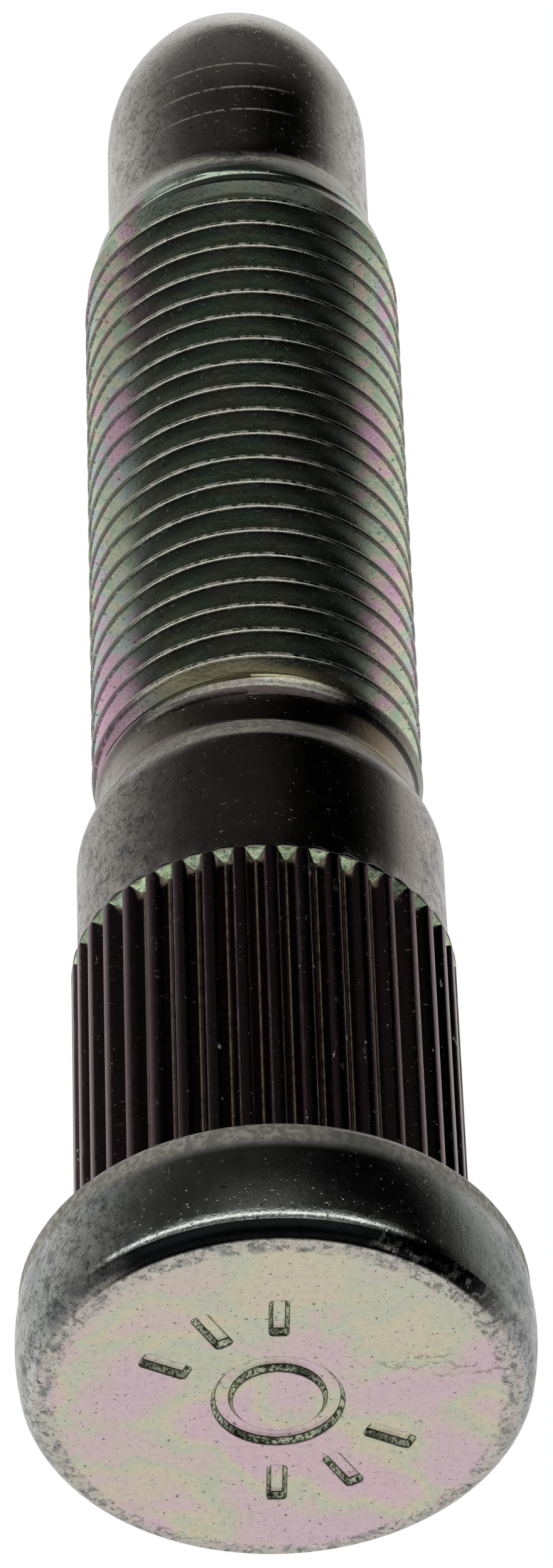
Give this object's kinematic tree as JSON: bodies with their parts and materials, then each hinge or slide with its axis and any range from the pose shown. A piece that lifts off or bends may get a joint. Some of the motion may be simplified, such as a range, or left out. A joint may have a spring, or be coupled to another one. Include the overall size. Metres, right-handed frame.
{
  "type": "wheel stud",
  "caption": "Press-in wheel stud with a round flat head, splined band, smooth shoulder, neck, fine right-hand thread and a long rounded nose.",
  "frame": {"origin": "on the stud's axis, in the plane of the seating face under the head", "axes": "+Z along the axis from the head to the nose; the stud stands on its head's end face, -Y faces the viewer"},
  "size_m": [0.0204, 0.0204, 0.0815],
  "materials": {
    "plated_steel": "iridescent zinc passivate"
  },
  "bodies": {
    "root": {"wheel_stud": "plated_steel"}
  },
  "joints": []
}
